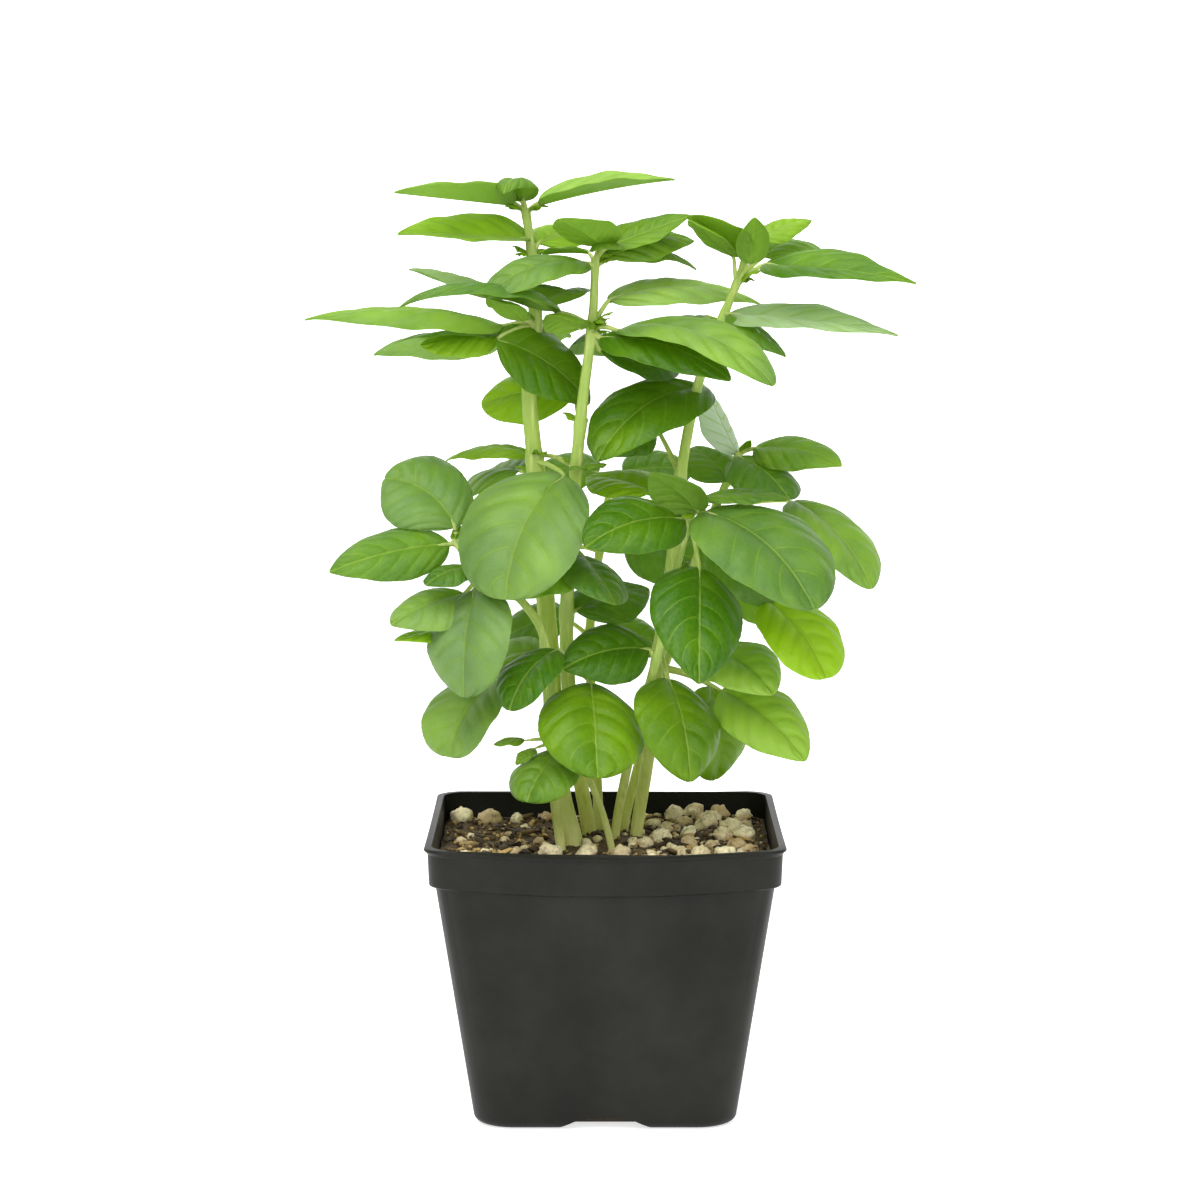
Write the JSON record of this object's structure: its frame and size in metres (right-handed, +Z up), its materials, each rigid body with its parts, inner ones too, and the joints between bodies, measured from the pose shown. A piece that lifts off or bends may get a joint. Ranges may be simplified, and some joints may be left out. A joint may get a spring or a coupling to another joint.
{
  "type": "potted basil plant",
  "caption": "Leafy basil plant growing in soil in a square black nursery pot with a turned-out lip.",
  "frame": {"origin": "on the ground, under the middle of the pot", "axes": "+Z up along the plant, +X to the right of the view from the front, the front faces -Y"},
  "size_m": [0.1874, 0.1129, 0.2952],
  "materials": {
    "pot": "satin moulded black plastic",
    "soil": "damp potting mix of bark, peat and small stones",
    "leaf": "smooth slightly glossy green leaf"
  },
  "bodies": {
    "root": {"pot": "pot", "soil": "soil", "left_tall_stem": "leaf", "middle_tall_stem": "leaf", "right_tall_stem": "leaf", "left_low_stem": "leaf", "right_front_stem": "leaf", "right_back_stem": "leaf", "back_stem": "leaf", "small_seedling": "leaf"}
  },
  "joints": []
}
